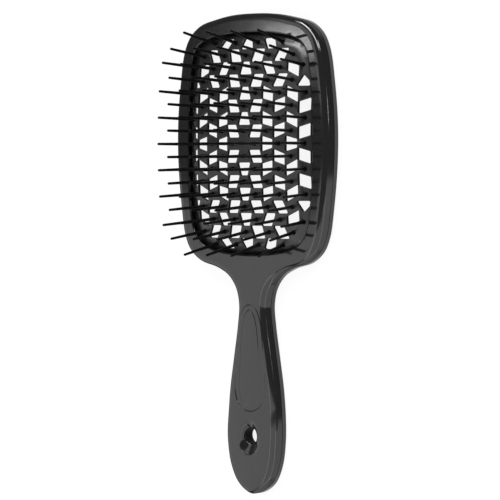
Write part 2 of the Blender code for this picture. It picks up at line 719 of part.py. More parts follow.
def pin_bands(material):
    """The bands of pins, each with the slice of the pad's face that its pins are moulded on."""
    _, field, vents, rise = pad_plan()
    feet = pin_feet()
    cuts = [(MIDDLE_ROW - last - HALF_ROW_SHARE) * ROW_PITCH for _, last in BANDS[:-1]]
    across = np.linspace(-WINDOW_HALF_WIDTH, WINDOW_HALF_WIDTH, CUT_POINTS)
    lines = []
    for cut in cuts:
        for edge in (cut + FIT_GAP / 2, cut - FIT_GAP / 2):
            line = np.stack([across, np.full(CUT_POINTS, edge)], axis=1)
            bends = distance_to(WINDOW_CURVE, line) < PAD_EDGE_BAND
            bends[::CUT_STRIDE] = True
            bends &= clear_of(vents, FIT_GAP / 2, line)
            bends[[0, -1]] = True
            lines.append(line[bends])
    places, faces = triangulated([field] + vents + feet, lines, rise)
    middles = places[faces].mean(axis=1)
    solid = inside(field, middles)
    for vent in vents:
        solid &= ~inside(vent, middles)
    under_pin = np.zeros(len(faces), dtype=bool)
    for ring in feet:
        under_pin |= inside(ring, middles)
    rings = [numbers_of(places, ring) for ring in feet]
    highs = [HEAD_REACH] + [cut - FIT_GAP / 2 for cut in cuts]
    lows = [cut + FIT_GAP / 2 for cut in cuts] + [-HEAD_REACH]
    for (first, last), high, low in zip(BANDS, highs, lows):
        band = solid & (middles[:, 1] < high) & (middles[:, 1] > low)
        mesh = bmesh.new()
        used = np.unique(faces[band])
        levels = pad_height(places)
        above = add_vertices(mesh, places, levels, used)
        below = add_vertices(mesh, places, levels - BAND_THICKNESS, used)
        sides = set()
        for corners in faces[band]:
            mesh.faces.new([below[i] for i in corners[::-1]])
            sides |= {(corners[k - 1], corners[k]) for k in range(3)}
        for corners in faces[band & ~under_pin]:
            mesh.faces.new([above[i] for i in corners])
        for start, end in sorted(sides):
            if (end, start) not in sides:
                mesh.faces.new((below[start], below[end], above[end], above[start]))
        for (place, direction), ring in zip(pins(), rings):
            if low < place[1] < high:
                add_pin(mesh, [above[i] for i in ring], place, direction)
        finish_object(f"pin_rows_{first:02d}_{last:02d}", mesh, material)


def build():
    clear_scene()
    gloss_black = make_material("gloss_black_plastic", (0.012, 0.012, 0.013), 0.22)
    satin_black = make_material("satin_black_plastic", (0.014, 0.014, 0.015), 0.30)
    front_shell(gloss_black)
    back_cover(gloss_black)
    lattice_pad(satin_black)
    pin_bands(satin_black)


build()
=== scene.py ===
"""Looks of the vented hair brush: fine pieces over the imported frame, moulded plastic, studio light.

The brush lies on its back, with its pins along +Z and its head towards +Y. Shapes are worked out
about the pad's centre, as the frame's own are, and then moved along +Y.
"""
import math

import bpy
import numpy as np
from mathutils import Matrix, Vector
from mathutils.geometry import delaunay_2d_cdt


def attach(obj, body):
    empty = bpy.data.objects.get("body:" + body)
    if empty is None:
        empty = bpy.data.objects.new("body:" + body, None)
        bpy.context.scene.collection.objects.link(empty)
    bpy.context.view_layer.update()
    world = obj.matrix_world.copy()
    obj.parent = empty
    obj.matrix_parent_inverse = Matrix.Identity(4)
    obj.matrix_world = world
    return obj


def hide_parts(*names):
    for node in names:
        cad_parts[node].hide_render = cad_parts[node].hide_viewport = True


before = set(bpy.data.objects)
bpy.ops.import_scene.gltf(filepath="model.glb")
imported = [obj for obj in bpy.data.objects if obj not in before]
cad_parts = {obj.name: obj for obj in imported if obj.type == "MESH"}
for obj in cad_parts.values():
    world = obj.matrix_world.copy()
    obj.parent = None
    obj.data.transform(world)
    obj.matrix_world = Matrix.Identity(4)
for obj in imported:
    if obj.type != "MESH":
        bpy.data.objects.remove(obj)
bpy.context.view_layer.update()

# Plan of the whole brush, in metres. Reaches are measured from the pad's centre.
HEAD_REACH = 0.0601
HEAD_HALF_WIDTH = 0.0443
SHOULDER_LENGTH = 0.0144
NECK_HALF_WIDTH = 0.0078
GRIP_LENGTH = 0.0875
GRIP_HALF_WIDTH = 0.0143

# Heights above the surface that the brush lies on.
COVER_TOP = 0.00305
RIM_FACE = 0.0097
NECK_FACE = 0.0096
GRIP_FACE = 0.0096
HOLE_FACE = 0.0102
END_FACE = 0.0095

# Edges of the two shells, and the gap between pieces that touch.
RIM_EDGE_RADIUS = 0.0034
HANDLE_EDGE_RADIUS = 0.0029
HANDLE_CROWN = 0.0004
WINDOW_EDGE_RADIUS = 0.0008
COVER_EDGE_RADIUS = 0.0006
FIT_GAP = 0.0003
MOULD_DRAFT = 0.0003

# The window in the head, and how the two shells hold the pad's border.
RIM_SIDE_WIDTH = 0.0080
RIM_END_WIDTH = 0.0089
PAD_TUCK = 0.0022
RIM_LIP_THICKNESS = 0.0024
COVER_LIP_INSET = 0.0010
COVER_BEVEL_WIDTH = 0.0021
COVER_BEVEL_HEIGHT = 0.0026

# The lattice pad.
PAD_THICKNESS = 0.0018
PAD_CENTRE_FACE = 0.0140
PAD_RADIUS_ACROSS = 0.1720
PAD_RADIUS_ALONG = 0.4000
PAD_EDGE_BAND = 0.0055
PAD_EDGE_ROOM = 0.0004
VENT_CORNER_RADIUS = 0.0005

# The pins, which stand in bands on the pad.
PIN_LENGTH = 0.0220
PIN_FOOT_RADIUS = 0.00115
PIN_SHAFT_RADIUS = 0.00080
PIN_TIP_RADIUS = 0.00060
PIN_FOOT_HEIGHT = 0.0013
CORNER_PIN_SHIFT_ACROSS = 0.0016
CORNER_PIN_SHIFT_ALONG = 0.0010

# The hanging hole in its dish, and the cone that opens it at the back.
HOLE_FROM_END = 0.0270
HOLE_RADIUS = 0.0036
DISH_HALF_WIDTH = 0.0056
DISH_HALF_LENGTH = 0.0084
DISH_DEPTH = 0.0028
CONE_TOP_RADIUS = 0.0040
CONE_FOOT_RADIUS = 0.0060
CONE_HEIGHT = 0.0022

# The bare oval plaque on the handle, a low step in a border that sinks into the face at the foot.
PLAQUE_BELOW_NECK = 0.0020
PLAQUE_ABOVE_HOLE = 0.0136
PLAQUE_HALF_WIDTH = 0.0065
PLAQUE_BORDER = 0.0024
PLAQUE_STEP = 0.00015
PLAQUE_FOOT_STEP = -0.00040
PLAQUE_SLOPE = 0.00050

# The lattice: rows count down from the head's top end, columns count out from the middle. Each
# band has its first and last row.
MIDDLE_ROW = 9
LAST_ROW = 17
CORNER_COLUMN = 5
CORNER_ROW = 3
BANDS = ((1, 2), (3, 4), (5, 6), (7, 8), (9, 10), (11, 12), (13, 14), (15, 17))
END_ROW_COLUMNS = (-3, -1, 1, 3)
EVEN_ROW_COLUMNS = (-4, -2, 0, 2, 4)
ODD_ROW_COLUMNS = (-5, -3, -1, 1, 3, 5)

# Angles in degrees at which the pins fan out, square to the domed pad.
FAN_ACROSS_PER_COLUMN = 1.95
FAN_ALONG_PER_ROW = 0.77
FAN_ALONG_NEXT_TO_LAST = 8.5
FAN_ALONG_LAST = 12.5

# Right halves of the outlines from the top down, as shares of the half widths and the reaches.
HEAD_OUTLINE_SHARES = (
    (0.000, 1.000), (0.254, 0.993), (0.490, 0.963), (0.685, 0.922), (0.826, 0.837),
    (0.908, 0.707), (0.960, 0.471), (0.993, 0.216), (1.000, -0.016), (0.984, -0.255),
    (0.948, -0.499), (0.900, -0.709), (0.824, -0.827), (0.684, -0.909), (0.468, -0.957),
)
NECK_OUTLINE_SHARES = ((1.790, 0.821), (1.224, 0.899), (1.000, 1.000))
HANDLE_OUTLINE_SHARES = (
    (0.600, 0.109), (0.757, 0.274), (0.914, 0.441), (0.993, 0.600), (0.986, 0.726),
    (0.877, 0.845), (0.627, 0.936), (0.333, 0.979), (0.000, 1.000),
)
WINDOW_OUTLINE_SHARES = (
    (0.000, 1.000), (0.379, 0.986), (0.650, 0.953), (0.818, 0.900), (0.911, 0.810),
    (0.954, 0.655), (0.989, 0.332), (1.000, 0.000), (0.989, -0.313), (0.957, -0.600),
    (0.900, -0.783), (0.790, -0.895), (0.596, -0.957), (0.325, -0.988), (0.000, -1.000),
)

# Where the face leaves the rim's height, as a share of the head's reach.
SHOULDER_SHARE = 0.8

# What shapes the dish and the plaque.
DISH_POINT_SHARE = 0.35
DISH_MIDDLE_SHARE = 0.70
DISH_SOFT_SHARE = 0.6
PLAQUE_MIDDLE_SHARE = 0.885
PLAQUE_TAPER_SHARE = 0.28
PLAQUE_FULLNESS = 5
PLAQUE_FADE_SHARE = 0.72

# Pitches of the lattice, as shares of the window's half width and half length.
COLUMN_PITCH_SHARE = 0.1786
ROW_PITCH_SHARE = 0.1133

# Vents of the upper right quarter, as shares of the column and row pitch from the vent's own
# place in the lattice. Each goes round by its corners, with the second number counting down.
TRAPEZOID_SHARES = ((-0.33, -0.50), (0.33, -0.50), (0.58, 0.50), (-0.58, 0.50))
LEAN_IN_SHARES = ((-0.30, -0.50), (0.63, -0.50), (0.42, 0.50), (-0.62, 0.50))
LEAN_OUT_SHARES = ((-0.67, -0.50), (0.24, -0.50), (0.62, 0.50), (-0.24, 0.50))
OUTER_LEAN_IN_SHARES = ((-0.22, -0.50), (0.64, -0.50), (0.23, 0.50), (-0.68, 0.50))
UPRIGHT_SHARES = (
    ((-0.48, -0.63), (0.48, -0.15), (0.48, 0.70), (-0.48, 0.43)),
    ((-0.48, -0.37), (0.48, -0.73), (0.48, 0.18), (-0.48, 0.59)),
    ((-0.49, -0.60), (0.49, -0.06), (0.49, 0.82), (-0.49, 0.29)),
    ((-0.48, -0.28), (0.31, -0.61), (0.31, 0.37), (-0.48, 0.69)),
)
MIDDLE_ROW_SHARES = ((-0.48, -0.63), (0.48, -0.33), (0.48, 0.33), (-0.48, 0.63))
CORNER_VENT_SHARES = ((-0.19, -0.42), (0.16, 0.06), (0.23, 0.48), (-0.68, 0.48))

# Top of the first row's vents, which lies lower in their place than the other rows' tops.
FIRST_ROW_TOP_SHARE = -0.33

# The vents of that quarter: column, rows and corners.
QUARTER_VENTS = (
    (0, (1, 3, 5, 7), TRAPEZOID_SHARES),
    (1, (2, 4, 6, 8), LEAN_IN_SHARES),
    (2, (1, 3), LEAN_OUT_SHARES),
    (3, (2, 4), OUTER_LEAN_IN_SHARES),
    (2, (5, 7), UPRIGHT_SHARES[0]),
    (3, (6, 8), UPRIGHT_SHARES[1]),
    (4, (3, 5, 7), UPRIGHT_SHARES[2]),
    (5, (6, 8), UPRIGHT_SHARES[3]),
    (2, (MIDDLE_ROW,), MIDDLE_ROW_SHARES),
    (4, (MIDDLE_ROW,), MIDDLE_ROW_SHARES),
    (5, (4,), CORNER_VENT_SHARES),
)

# Sizes that follow from the ones above. HEAD_END parts the window's surroundings from the handle.
NECK_REACH = HEAD_REACH + SHOULDER_LENGTH
HANDLE_REACH = NECK_REACH + GRIP_LENGTH
HOLE_REACH = HANDLE_REACH - HOLE_FROM_END
PLAQUE_TOP_REACH = NECK_REACH + PLAQUE_BELOW_NECK
PLAQUE_FOOT_REACH = HOLE_REACH - PLAQUE_ABOVE_HOLE
WINDOW_HALF_WIDTH = HEAD_HALF_WIDTH - RIM_SIDE_WIDTH
WINDOW_HALF_LENGTH = HEAD_REACH - RIM_END_WIDTH
COLUMN_PITCH = WINDOW_HALF_WIDTH * COLUMN_PITCH_SHARE
ROW_PITCH = WINDOW_HALF_LENGTH * ROW_PITCH_SHARE
PAD_CENTRE_ALONG = (HANDLE_REACH - HEAD_REACH) / 2
SHELL_FOOT = COVER_TOP + FIT_GAP
RIM_LIP_FOOT = RIM_FACE - RIM_LIP_THICKNESS
PAD_BORDER_TOP = RIM_LIP_FOOT - FIT_GAP
PAD_BORDER_FOOT = PAD_BORDER_TOP - PAD_THICKNESS
COVER_LIP_TOP = PAD_BORDER_FOOT - FIT_GAP
HEAD_END = WINDOW_HALF_LENGTH + 2 * PAD_TUCK

# How finely the shown surfaces are cut.
CURVE_STEPS = 24
OUTLINE_POINTS = 440
WINDOW_POINTS = 280
HOLE_POINTS = 72
DISH_POINTS = 120
PLAQUE_POINTS = 200
VENT_CORNER_STEPS = 4
PIN_SIDES = 16
FACE_GRID = 0.0022
PAD_GRID = 0.0016
GRID_ROOM_SHARE = 0.35
VENT_ROOM_SHARE = 1.6
DISH_PASSES = 3
SLOPE_STEP = 0.00002
SAME_POINT = 1e-9
ALL_TRIANGLES = 0
NO_POINTS = np.empty((0, 2))

# Where the extra loops lie over a rounded edge or a slope, as shares of its width.
EDGE_SHARES = (0.03, 0.08, 0.15, 0.24, 0.34, 0.46, 0.60, 0.78, 1.0)
SMALL_EDGE_SHARES = (0.12, 0.35, 0.65, 1.0)
VENT_FOOT_SHARES = (0.3, 1.0)
SLOPE_SHARES = (0.0, 0.25, 0.5, 0.75, 1.0)

# Small roundings and fits that only the looks have. The tilt is that of the flanks' shading.
FLANK_TILT = math.radians(61.0)
HOLE_EDGE_RADIUS = 0.0005
SEAM_CHAMFER = 0.00008
SEAM_TONGUE = 0.0007
SEAM_CLEARANCE = 0.00002
LIP_CHAMFER = 0.0002
VENT_EDGE_RADIUS = 0.00030
VENT_FOOT_RADIUS = 0.00020
PIN_SINK = 0.0004

# The pins' profile: shares of the foot's height and of the shaft, and degrees round the tip.
PIN_FLARE_SHARES = (0.0, 0.10, 0.22, 0.36, 0.54, 0.76, 1.0)
PIN_FLARE_POWER = 2.4
PIN_TAPER_SHARES = (0.25, 0.5, 0.75, 1.0)
PIN_TIP_TURNS = (15, 30, 45, 60, 75)
PIN_CREASE_ANGLE = 40.0

# Colours as linear shades, the spread of roughness, and the grain's scale and strength.
GLOSS_TONES = ((0.0050, 0.0050, 0.0053), (0.0066, 0.0066, 0.0070))
SATIN_TONES = ((0.0050, 0.0050, 0.0052), (0.0075, 0.0075, 0.0078))
# The walls inside the window, the hole, the cone and the vents are painted darker and duller than the
# faces, as painted shade in those openings.
SHADED_WALL_TONES = ((0.0020, 0.0020, 0.0021), (0.0040, 0.0040, 0.0042))
PIN_TONES = ((0.0025, 0.0025, 0.0026), (0.0045, 0.0045, 0.0047))
GLOSS_ROUGHNESS = (0.07, 0.12)
SATIN_ROUGHNESS = (0.26, 0.36)
SHADED_WALL_ROUGHNESS = (0.50, 0.60)
GLOSS_GRAIN = (2600.0, 0.10)
SATIN_GRAIN = (3200.0, 0.25)
PLASTIC_IOR = 1.5
# The lower IOR dims the reflections on those walls as part of the painted shade. The pins share it.
DULL_IOR = 1.15

# Noise that all the plastics share, and the part of its range that is used.
TONE_SCALE = 45.0
TONE_DETAIL = 3.0
POLISH_SCALE = 160.0
POLISH_DETAIL = 4.0
GRAIN_DETAIL = 2.0
GRAIN_DEPTH = 0.00002
NOISE_LOW = 0.3
NOISE_HIGH = 0.7

# The camera: angles in degrees, lens and sensor in millimetres, distance and aim in metres.
VIEW_AZIMUTH = 38.234
VIEW_ELEVATION = 1.63
VIEW_ROLL = -0.0926
VIEW_LENS = 207.35
VIEW_SENSOR_WIDTH = 36.0
VIEW_DISTANCE = 1.32274
VIEW_AIM = (0.003898, 0.002122, 0.0140)

# The room and the floor.
ROOM_GREY = (0.22, 0.22, 0.22)
FLOOR_COLOUR = (0.85, 0.85, 0.85)
FLOOR_ROUGHNESS = 0.9
FLOOR_GLOW = 0.88
FLOOR_HALF_SIZE = 3.0
FLOOR_DROP = 0.00005

# The soft boxes: name, direction, distance, shift, size, brightness and turn. The brush's flat
# face mirrors MIRRORED_SIDE to the camera. The small boxes make single glints on the edges.
MIRRORED_SIDE = (-0.62, 0.0, 0.785)
CARDS = (
    ("card_low_left", MIRRORED_SIDE, 0.80, (-0.29, -0.3815), (0.56, 0.80), 1.50),
    ("card_low_right", MIRRORED_SIDE, 0.80, (0.27, -0.3942), (0.56, 0.80), 1.50),
    ("card_over", (0.42, 0.0, 0.907), 0.44, (0.0, -0.407), (0.64, 0.70), 1.40),
    ("card_side", (0.97, 0.0, 0.24), 1.20, (0.0, -0.9164), (1.10, 1.60), 1.30),
    ("card_foot", (0.10, -0.90, 0.30), 1.00, (0.0, 0.0), (1.00, 0.60), 1.30),
    ("card_top", MIRRORED_SIDE, 0.80, (0.235, 0.36), (0.50, 0.46), 0.55),
    ("card_turn", MIRRORED_SIDE, 0.74, (0.287, 0.36), (0.50, 0.46), 0.9),
    ("card_rim", MIRRORED_SIDE, 0.60, (0.036, 0.1253), (0.040, 0.0156), 11.0),
    ("card_shoulder", MIRRORED_SIDE, 0.66, (0.230, 0.1175), (0.400, 0.035), 1.1),
    ("card_line", (0.130, 0.717, 0.685), 0.80, (0.0, 0.0), (0.72, 0.11), 16.0, -0.74),
    ("card_head", (-0.10, 0.80, 0.58), 0.95, (0.0, 0.0), (0.50, 0.16), 7.0),
    ("card_dish", (0.55, 0.53, 0.61), 0.90, (0.0, 0.0), (0.14, 0.14), 10.0),
    ("card_edge", (0.86, 0.18, 0.47), 1.00, (0.0, 0.0), (0.05, 0.10), 14.0),
)


def blend(low, high, value):
    """Smooth step from 0 at low to 1 at high."""
    t = np.clip((value - low) / (high - low), 0.0, 1.0)
    return t * t * (3.0 - 2.0 * t)


def curve_through(points):
    """Closed centripetal Catmull-Rom curve through the points."""
    knots = np.asarray(points)
    count = len(knots)
    result = []
    for i in range(count):
        p0, p1, p2, p3 = (knots[(i + k) % count] for k in (-1, 0, 1, 2))
        t1 = math.sqrt(np.linalg.norm(p1 - p0))
        t2 = t1 + math.sqrt(np.linalg.norm(p2 - p1))
        t3 = t2 + math.sqrt(np.linalg.norm(p3 - p2))
        for step in range(CURVE_STEPS):
            t = t1 + (t2 - t1) * step / CURVE_STEPS
            a1 = p0 * (t1 - t) / t1 + p1 * t / t1
            a2 = p1 * (t2 - t) / (t2 - t1) + p2 * (t - t1) / (t2 - t1)
            a3 = p2 * (t3 - t) / (t3 - t2) + p3 * (t - t2) / (t3 - t2)
            b1 = a1 * (t2 - t) / t2 + a2 * t / t2
            b2 = a2 * (t3 - t) / (t3 - t1) + a3 * (t - t1) / (t3 - t1)
            result.append(b1 * (t2 - t) / (t2 - t1) + b2 * (t - t1) / (t2 - t1))
    return np.array(result)


def evenly(loop, count):
    """The closed loop again, with its points at equal spacing."""
    closed = np.vstack([loop, loop[:1]])
    steps = np.linalg.norm(np.diff(closed, axis=0), axis=1)
    lengths = np.concatenate([[0.0], np.cumsum(steps)])
    places = np.arange(count) * lengths[-1] / count
    return np.stack([np.interp(places, lengths, closed[:, k]) for k in range(2)], axis=1)


def turn_of(loop):
    """1 for a loop that turns left, -1 for one that turns right."""
    following = np.roll(loop, -1, axis=0)
    area = np.sum(loop[:, 0] * following[:, 1] - following[:, 0] * loop[:, 1])
    return 1.0 if area > 0 else -1.0


def ways_in(loop, side):
    """Unit steps from each point of a loop inwards, or outwards where side is -1."""
    along = np.roll(loop, -1, axis=0) - np.roll(loop, 1, axis=0)
    along /= np.linalg.norm(along, axis=1)[:, None]
    return np.stack([-along[:, 1], along[:, 0]], axis=1) * turn_of(loop) * side


def inset(loop, distance):
    """The loop moved inwards by a distance, or outwards by a negative one."""
    return loop + ways_in(loop, 1) * distance


def circle(centre_along, radius, count):
    """A circle round a point of the middle line."""
    turns = np.arange(count) * 2 * math.pi / count
    return np.stack([radius * np.cos(turns), centre_along + radius * np.sin(turns)], axis=1)


def mirrored(half):
    """A closed outline from its right half, which starts and ends on the middle line."""
    return list(half) + [(-x, y) for x, y in reversed(half[1:-1])]


def body_outline():
    """Outline of the head, the neck and the handle."""
    half = [(x * HEAD_HALF_WIDTH, y * HEAD_REACH) for x, y in HEAD_OUTLINE_SHARES]
    half += [(x * NECK_HALF_WIDTH, -y * NECK_REACH) for x, y in NECK_OUTLINE_SHARES]
    grip_length = HANDLE_REACH - NECK_REACH
    for x, y in HANDLE_OUTLINE_SHARES:
        half.append((x * GRIP_HALF_WIDTH, -NECK_REACH - y * grip_length))
    return curve_through(mirrored(half))


def window_outline():
    """Outline of the opening in the head's rim."""
    half = [(x * WINDOW_HALF_WIDTH, y * WINDOW_HALF_LENGTH) for x, y in WINDOW_OUTLINE_SHARES]
    return curve_through(mirrored(half))


def plaque_outline():
    """The plaque's inner outline, an oval that widens with the handle."""
    middle = (PLAQUE_TOP_REACH + PLAQUE_FOOT_REACH) / 2
    half_length = (PLAQUE_FOOT_REACH - PLAQUE_TOP_REACH) / 2
    turns = np.arange(PLAQUE_POINTS) * 2 * math.pi / PLAQUE_POINTS
    along = np.sin(turns)
    across = np.sign(np.cos(turns)) * np.sqrt(1.0 - np.abs(along) ** PLAQUE_FULLNESS)
    width = PLAQUE_HALF_WIDTH * (PLAQUE_MIDDLE_SHARE - PLAQUE_TAPER_SHARE * along)
    return np.stack([across * width, -middle + along * half_length], axis=1)


def inside(loop, points):
    """Which of the points lie within the closed loop."""
    following = np.roll(loop, -1, axis=0)
    within = np.zeros(len(points), dtype=bool)
    for (x1, y1), (x2, y2) in zip(loop, following):
        if y1 == y2:
            continue
        crosses = (y1 > points[:, 1]) != (y2 > points[:, 1])
        at = x1 + (points[:, 1] - y1) * (x2 - x1) / (y2 - y1)
        within ^= crosses & (points[:, 0] < at)
    return within


def between(edges, points):
    """Which of the points lie within the first loop and outside the others."""
    good = inside(edges[0], points)
    for hole in edges[1:]:
        near = np.abs(points - hole.mean(axis=0)).max(axis=1) < np.ptp(hole, axis=0).max()
        good[near] &= ~inside(hole, points[near])
    return good


def half_width_at(along):
    """Half width of the brush below the head at a place along it, read from the outline."""
    lower = OUTLINE[(OUTLINE[:, 0] >= 0) & (OUTLINE[:, 1] < 0)]
    order = np.argsort(lower[:, 1])
    return np.interp(along, lower[order, 1], lower[order, 0])


def edge_radius(along):
    """Radius of the front shell's outer edge at a place along the brush."""
    share = blend(HEAD_REACH, NECK_REACH, -along)
    return RIM_EDGE_RADIUS + (HANDLE_EDGE_RADIUS - RIM_EDGE_RADIUS) * share


def plaque_rise(signed, along):
    """Rise of the plaque over the face. The distance to its outline is negative inside it."""
    fade = blend(PLAQUE_FOOT_REACH * PLAQUE_FADE_SHARE, PLAQUE_FOOT_REACH, -along)
    outer = PLAQUE_STEP * (1.0 - fade) + PLAQUE_FOOT_STEP * fade
    rise = PLAQUE_STEP * (1.0 - blend(-PLAQUE_SLOPE, 0.0, signed))
    return rise + outer * (1.0 - blend(PLAQUE_BORDER - PLAQUE_SLOPE, PLAQUE_BORDER, signed))


def dish_level(points):
    """1 on the dish's edge and 0 in its middle. Its lower end runs to a soft point."""
    across = np.abs(points[:, 0]) / DISH_HALF_WIDTH
    along = (points[:, 1] + HOLE_REACH) / DISH_HALF_LENGTH
    point = 1.0 + DISH_POINT_SHARE * np.clip(-along, 0.0, None) * across
    return np.hypot(across * point, along)


def dish_drop(points):
    """Depth of the dish, which starts softly at its upper end and crisply at its lower one."""
    along = (points[:, 1] + HOLE_REACH) / DISH_HALF_LENGTH
    power = 1.0 + blend(-DISH_SOFT_SHARE, DISH_SOFT_SHARE, along)
    return DISH_DEPTH * np.clip(1.0 - dish_level(points) ** 2, 0.0, None) ** power


def dish_loops():
    """Loops at the dish's edge and part of the way down it, found in a few passes."""
    centre = np.array([0.0, -HOLE_REACH])
    turns = np.arange(DISH_POINTS) * 2 * math.pi / DISH_POINTS
    rays = np.stack([np.cos(turns) * DISH_HALF_WIDTH, np.sin(turns) * DISH_HALF_LENGTH], axis=1)
    loops = []
    for level in (1.0, DISH_MIDDLE_SHARE):
        place = centre + rays
        for _ in range(DISH_PASSES):
            place = centre + (place - centre) * (level / dish_level(place))[:, None]
        loops.append(place)
    return loops


def rounded_polygon(corners):
    """The polygon with each corner cut by an arc."""
    corners = np.asarray(corners)
    result = []
    for i, here in enumerate(corners):
        before = corners[i - 1] - here
        after = corners[(i + 1) % len(corners)] - here
        back = before / np.linalg.norm(before)
        ahead = after / np.linalg.norm(after)
        half = math.acos(float(back @ ahead)) / 2
        towards = (back + ahead) / np.linalg.norm(back + ahead)
        centre = here + towards * VENT_CORNER_RADIUS / math.sin(half)
        first = here + back * VENT_CORNER_RADIUS / math.tan(half) - centre
        last = here + ahead * VENT_CORNER_RADIUS / math.tan(half) - centre
        sweep = math.atan2(float(first[0] * last[1] - first[1] * last[0]), float(first @ last))
        for step in range(VENT_CORNER_STEPS + 1):
            angle = sweep * step / VENT_CORNER_STEPS
            x = first[0] * math.cos(angle) - first[1] * math.sin(angle)
            y = first[0] * math.sin(angle) + first[1] * math.cos(angle)
            result.append(centre + (x, y))
    return np.array(result)


def vent_loops():
    """Every vent of the lattice, mirrored from the upper right quarter."""
    loops = []
    for column, rows, shares in QUARTER_VENTS:
        for row in rows:
            corners = []
            for across, down in shares:
                drop = max(down, FIRST_ROW_TOP_SHARE) if row == 1 else down
                along = (MIDDLE_ROW - row - drop) * ROW_PITCH
                corners.append(((column + across) * COLUMN_PITCH, along))
            loop = rounded_polygon(corners)
            for flip_across in ((1, -1) if column else (1,)):
                for flip_along in ((1, -1) if row != MIDDLE_ROW else (1,)):
                    loops.append(loop * (flip_across, flip_along))
    return loops


def fan_along(row):
    """Tilt of a row's pins towards the nearer end of the head, in degrees."""
    steps = abs(MIDDLE_ROW - row)
    toward = 1 if row < MIDDLE_ROW else -1
    if steps == MIDDLE_ROW - 1:
        return FAN_ALONG_LAST * toward
    if steps == MIDDLE_ROW - 2:
        return FAN_ALONG_NEXT_TO_LAST * toward
    return FAN_ALONG_PER_ROW * steps * toward


def columns_of_row(row):
    """Columns that have a pin in a row of the staggered lattice."""
    if row in (1, LAST_ROW):
        return END_ROW_COLUMNS
    return ODD_ROW_COLUMNS if row % 2 else EVEN_ROW_COLUMNS


def pins_of(row):
    """Foot and direction of each pin of a row."""
    found = []
    toward = 1 if row < MIDDLE_ROW else -1
    for column in columns_of_row(row):
        across = column * COLUMN_PITCH
        along = (MIDDLE_ROW - row) * ROW_PITCH
        if abs(column) == CORNER_COLUMN and row in (CORNER_ROW, LAST_ROW + 1 - CORNER_ROW):
            across -= math.copysign(CORNER_PIN_SHIFT_ACROSS, column)
            along += CORNER_PIN_SHIFT_ALONG * toward
        lean_across = math.tan(math.radians(FAN_ACROSS_PER_COLUMN * column))
        lean_along = math.tan(math.radians(fan_along(row)))
        found.append(((across, along), Vector((lean_across, lean_along, 1.0)).normalized()))
    return found


def staggered_grid(low, high, spacing):
    """Points of a staggered grid over a rectangle."""
    found = []
    for row in range(int((high[1] - low[1]) / spacing) + 1):
        shift = (row % 2) * spacing / 2
        for column in range(int((high[0] - low[0]) / spacing) + 1):
            found.append((low[0] + column * spacing + shift, low[1] + row * spacing))
    return np.array(found)


OUTLINE = evenly(body_outline(), OUTLINE_POINTS)
WINDOW = evenly(window_outline(), WINDOW_POINTS)
PLAQUE = plaque_outline()
HOLE = circle(-HOLE_REACH, HOLE_RADIUS, HOLE_POINTS)


def nearest(loops, side, points):
    """Distance of each point to the nearest loop, and the step from there into the material."""
    best = np.full(len(points), np.inf)
    step_in = np.zeros((len(points), 2))
    for loop in loops:
        ways = ways_in(loop, side)
        ends = zip(loop, np.roll(loop, -1, axis=0), ways, np.roll(ways, -1, axis=0))
        for a, b, way_a, way_b in ends:
            run = b - a
            share = np.clip(((points - a) @ run) / max(run @ run, SAME_POINT ** 2), 0.0, 1.0)
            gap = np.linalg.norm(points - a - share[:, None] * run, axis=1)
            closer = gap < best
            best[closer] = gap[closer]
            step_in[closer] = way_a + (way_b - way_a) * share[closer][:, None]
    return best, step_in / np.linalg.norm(step_in, axis=1)[:, None]


def sloped(height, points):
    """Heights of a surface and its upward normals, from its slopes."""
    levels = height(points)
    normals = np.ones((len(points), 3))
    for axis in range(2):
        step = np.zeros(2)
        step[axis] = SLOPE_STEP
        normals[:, axis] = (height(points - step) - height(points + step)) / (2 * SLOPE_STEP)
    return levels, normals / np.linalg.norm(normals, axis=1)[:, None]


def rounded_off(surface, gap, step_in, radius, end_tilt=math.pi / 2):
    """The surface again, with the edge that lies at the given distance rounded off.

    A smaller end tilt shades the edge as if the wall under it leaned in a little.
    """
    levels, normals = surface
    lean = np.clip(1.0 - gap / radius, 0.0, 1.0)
    levels = levels - radius * (1.0 - np.sqrt(1.0 - lean * lean))
    tilt = np.arcsin(lean) * end_tilt * 2 / math.pi
    normals = normals * np.cos(tilt)[:, None]
    normals[:, :2] -= step_in * np.sin(tilt)[:, None]
    return levels, normals / np.linalg.norm(normals, axis=1)[:, None]


def upside_down(surface):
    """A surface worked out facing up, turned to face down."""
    levels, normals = surface
    return -levels, normals * (1, 1, -1)


def triangulated(loops, extra):
    """Triangles over all the points with the loops as edges, and the points' numbers by loop.

    A point that falls on another shares its number, and one that was dropped has the number -1.
    """
    points = np.vstack(list(loops) + [extra])
    edges = []
    runs = []
    start = 0
    for loop in loops:
        count = len(loop)
        edges += [(start + i, start + (i + 1) % count) for i in range(count)]
        runs.append(range(start, start + count))
        start += count
    corners = [Vector(p) for p in points]
    found = delaunay_2d_cdt(corners, edges, [], ALL_TRIANGLES, SAME_POINT)
    places = np.array([tuple(v) for v in found[0]])
    faces = np.array([tuple(f) for f in found[2]])
    first = places[faces[:, 1]] - places[faces[:, 0]]
    second = places[faces[:, 2]] - places[faces[:, 0]]
    right = first[:, 0] * second[:, 1] < first[:, 1] * second[:, 0]
    faces[right] = faces[right][:, ::-1]
    home = {}
    for index, originals in enumerate(found[3]):
        for original in originals:
            home[original] = index
    return places, faces, [[home.get(i, -1) for i in run] for run in runs]


